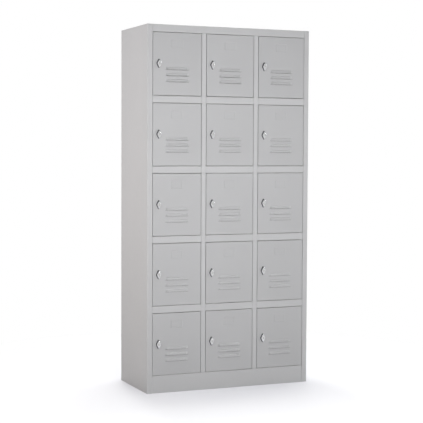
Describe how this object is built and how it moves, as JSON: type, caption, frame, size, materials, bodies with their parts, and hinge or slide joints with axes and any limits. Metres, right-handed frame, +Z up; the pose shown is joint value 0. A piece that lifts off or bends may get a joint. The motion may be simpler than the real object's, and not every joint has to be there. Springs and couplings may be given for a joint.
{
  "type": "metal locker",
  "caption": "Free-standing sheet-steel locker block: flush hinged compartment doors with louvred vents, card holders and turning cam locks, above a plinth.",
  "frame": {"origin": "centre of the base of the whole outline, lock handles included, on the floor", "axes": "+Z up, -Y out through the doors, +X to the right of someone who faces the doors"},
  "size_m": [0.9, 0.412, 1.85],
  "materials": {
    "frame_paint": "light grey powder coat, satin, with a fine orange peel",
    "door_paint": "light grey powder coat, satin, with a fine orange peel",
    "lock_chrome": "bright chrome plating on the handle, zinc plating on the cam"
  },
  "bodies": {
    "cabinet": {"side_panel_left": "frame_paint", "side_panel_right": "frame_paint", "jamb_left": "frame_paint", "jamb_right": "frame_paint", "top_panel": "frame_paint", "bottom_panel": "frame_paint", "back_panel": "frame_paint", "plinth": "frame_paint", "partition_left": "frame_paint", "partition_middle": "frame_paint", "shelf_row1_left": "frame_paint", "shelf_row1_middle": "frame_paint", "shelf_row1_right": "frame_paint", "shelf_row2_left": "frame_paint", "shelf_row2_middle": "frame_paint", "shelf_row2_right": "frame_paint", "shelf_row3_left": "frame_paint", "shelf_row3_middle": "frame_paint", "shelf_row3_right": "frame_paint", "shelf_row4_left": "frame_paint", "shelf_row4_middle": "frame_paint", "shelf_row4_right": "frame_paint"},
    "door_row1_left": {"door_row1_left": "door_paint"},
    "lock_row1_left": {"lock_row1_left": "lock_chrome"},
    "door_row1_middle": {"door_row1_middle": "door_paint"},
    "lock_row1_middle": {"lock_row1_middle": "lock_chrome"},
    "door_row1_right": {"door_row1_right": "door_paint"},
    "lock_row1_right": {"lock_row1_right": "lock_chrome"},
    "door_row2_left": {"door_row2_left": "door_paint"},
    "lock_row2_left": {"lock_row2_left": "lock_chrome"},
    "door_row2_middle": {"door_row2_middle": "door_paint"},
    "lock_row2_middle": {"lock_row2_middle": "lock_chrome"},
    "door_row2_right": {"door_row2_right": "door_paint"},
    "lock_row2_right": {"lock_row2_right": "lock_chrome"},
    "door_row3_left": {"door_row3_left": "door_paint"},
    "lock_row3_left": {"lock_row3_left": "lock_chrome"},
    "door_row3_middle": {"door_row3_middle": "door_paint"},
    "lock_row3_middle": {"lock_row3_middle": "lock_chrome"},
    "door_row3_right": {"door_row3_right": "door_paint"},
    "lock_row3_right": {"lock_row3_right": "lock_chrome"},
    "door_row4_left": {"door_row4_left": "door_paint"},
    "lock_row4_left": {"lock_row4_left": "lock_chrome"},
    "door_row4_middle": {"door_row4_middle": "door_paint"},
    "lock_row4_middle": {"lock_row4_middle": "lock_chrome"},
    "door_row4_right": {"door_row4_right": "door_paint"},
    "lock_row4_right": {"lock_row4_right": "lock_chrome"},
    "door_row5_left": {"door_row5_left": "door_paint"},
    "lock_row5_left": {"lock_row5_left": "lock_chrome"},
    "door_row5_middle": {"door_row5_middle": "door_paint"},
    "lock_row5_middle": {"lock_row5_middle": "lock_chrome"},
    "door_row5_right": {"door_row5_right": "door_paint"},
    "lock_row5_right": {"lock_row5_right": "lock_chrome"}
  },
  "joints": [
    {"name": "door_row1_left_hinge", "type": "hinge", "parent": "cabinet", "child": "door_row1_left", "pos_m": [-0.1675, -0.189, 1.65475], "axis": [0, 0, 1], "range_deg": [0, 110]},
    {"name": "lock_row1_left_turn", "type": "hinge", "parent": "door_row1_left", "child": "lock_row1_left", "pos_m": [-0.389, -0.194, 1.65625], "axis": [0, 1, 0], "range_deg": [0, 90]},
    {"name": "door_row1_middle_hinge", "type": "hinge", "parent": "cabinet", "child": "door_row1_middle", "pos_m": [0.1225, -0.189, 1.65475], "axis": [0, 0, 1], "range_deg": [0, 110]},
    {"name": "lock_row1_middle_turn", "type": "hinge", "parent": "door_row1_middle", "child": "lock_row1_middle", "pos_m": [-0.099, -0.194, 1.65625], "axis": [0, 1, 0], "range_deg": [0, 90]},
    {"name": "door_row1_right_hinge", "type": "hinge", "parent": "cabinet", "child": "door_row1_right", "pos_m": [0.4125, -0.189, 1.65475], "axis": [0, 0, 1], "range_deg": [0, 110]},
    {"name": "lock_row1_right_turn", "type": "hinge", "parent": "door_row1_right", "child": "lock_row1_right", "pos_m": [0.191, -0.194, 1.65625], "axis": [0, 1, 0], "range_deg": [0, 90]},
    {"name": "door_row2_left_hinge", "type": "hinge", "parent": "cabinet", "child": "door_row2_left", "pos_m": [-0.1675, -0.189, 1.30275], "axis": [0, 0, 1], "range_deg": [0, 110]},
    {"name": "lock_row2_left_turn", "type": "hinge", "parent": "door_row2_left", "child": "lock_row2_left", "pos_m": [-0.389, -0.194, 1.30425], "axis": [0, 1, 0], "range_deg": [0, 90]},
    {"name": "door_row2_middle_hinge", "type": "hinge", "parent": "cabinet", "child": "door_row2_middle", "pos_m": [0.1225, -0.189, 1.30275], "axis": [0, 0, 1], "range_deg": [0, 110]},
    {"name": "lock_row2_middle_turn", "type": "hinge", "parent": "door_row2_middle", "child": "lock_row2_middle", "pos_m": [-0.099, -0.194, 1.30425], "axis": [0, 1, 0], "range_deg": [0, 90]},
    {"name": "door_row2_right_hinge", "type": "hinge", "parent": "cabinet", "child": "door_row2_right", "pos_m": [0.4125, -0.189, 1.30275], "axis": [0, 0, 1], "range_deg": [0, 110]},
    {"name": "lock_row2_right_turn", "type": "hinge", "parent": "door_row2_right", "child": "lock_row2_right", "pos_m": [0.191, -0.194, 1.30425], "axis": [0, 1, 0], "range_deg": [0, 90]},
    {"name": "door_row3_left_hinge", "type": "hinge", "parent": "cabinet", "child": "door_row3_left", "pos_m": [-0.1675, -0.189, 0.95075], "axis": [0, 0, 1], "range_deg": [0, 110]},
    {"name": "lock_row3_left_turn", "type": "hinge", "parent": "door_row3_left", "child": "lock_row3_left", "pos_m": [-0.389, -0.194, 0.95225], "axis": [0, 1, 0], "range_deg": [0, 90]},
    {"name": "door_row3_middle_hinge", "type": "hinge", "parent": "cabinet", "child": "door_row3_middle", "pos_m": [0.1225, -0.189, 0.95075], "axis": [0, 0, 1], "range_deg": [0, 110]},
    {"name": "lock_row3_middle_turn", "type": "hinge", "parent": "door_row3_middle", "child": "lock_row3_middle", "pos_m": [-0.099, -0.194, 0.95225], "axis": [0, 1, 0], "range_deg": [0, 90]},
    {"name": "door_row3_right_hinge", "type": "hinge", "parent": "cabinet", "child": "door_row3_right", "pos_m": [0.4125, -0.189, 0.95075], "axis": [0, 0, 1], "range_deg": [0, 110]},
    {"name": "lock_row3_right_turn", "type": "hinge", "parent": "door_row3_right", "child": "lock_row3_right", "pos_m": [0.191, -0.194, 0.95225], "axis": [0, 1, 0], "range_deg": [0, 90]},
    {"name": "door_row4_left_hinge", "type": "hinge", "parent": "cabinet", "child": "door_row4_left", "pos_m": [-0.1675, -0.189, 0.59875], "axis": [0, 0, 1], "range_deg": [0, 110]},
    {"name": "lock_row4_left_turn", "type": "hinge", "parent": "door_row4_left", "child": "lock_row4_left", "pos_m": [-0.389, -0.194, 0.60025], "axis": [0, 1, 0], "range_deg": [0, 90]},
    {"name": "door_row4_middle_hinge", "type": "hinge", "parent": "cabinet", "child": "door_row4_middle", "pos_m": [0.1225, -0.189, 0.59875], "axis": [0, 0, 1], "range_deg": [0, 110]},
    {"name": "lock_row4_middle_turn", "type": "hinge", "parent": "door_row4_middle", "child": "lock_row4_middle", "pos_m": [-0.099, -0.194, 0.60025], "axis": [0, 1, 0], "range_deg": [0, 90]},
    {"name": "door_row4_right_hinge", "type": "hinge", "parent": "cabinet", "child": "door_row4_right", "pos_m": [0.4125, -0.189, 0.59875], "axis": [0, 0, 1], "range_deg": [0, 110]},
    {"name": "lock_row4_right_turn", "type": "hinge", "parent": "door_row4_right", "child": "lock_row4_right", "pos_m": [0.191, -0.194, 0.60025], "axis": [0, 1, 0], "range_deg": [0, 90]},
    {"name": "door_row5_left_hinge", "type": "hinge", "parent": "cabinet", "child": "door_row5_left", "pos_m": [-0.1675, -0.189, 0.24675], "axis": [0, 0, 1], "range_deg": [0, 110]},
    {"name": "lock_row5_left_turn", "type": "hinge", "parent": "door_row5_left", "child": "lock_row5_left", "pos_m": [-0.389, -0.194, 0.24825], "axis": [0, 1, 0], "range_deg": [0, 90]},
    {"name": "door_row5_middle_hinge", "type": "hinge", "parent": "cabinet", "child": "door_row5_middle", "pos_m": [0.1225, -0.189, 0.24675], "axis": [0, 0, 1], "range_deg": [0, 110]},
    {"name": "lock_row5_middle_turn", "type": "hinge", "parent": "door_row5_middle", "child": "lock_row5_middle", "pos_m": [-0.099, -0.194, 0.24825], "axis": [0, 1, 0], "range_deg": [0, 90]},
    {"name": "door_row5_right_hinge", "type": "hinge", "parent": "cabinet", "child": "door_row5_right", "pos_m": [0.4125, -0.189, 0.24675], "axis": [0, 0, 1], "range_deg": [0, 110]},
    {"name": "lock_row5_right_turn", "type": "hinge", "parent": "door_row5_right", "child": "lock_row5_right", "pos_m": [0.191, -0.194, 0.24825], "axis": [0, 1, 0], "range_deg": [0, 90]}
  ]
}
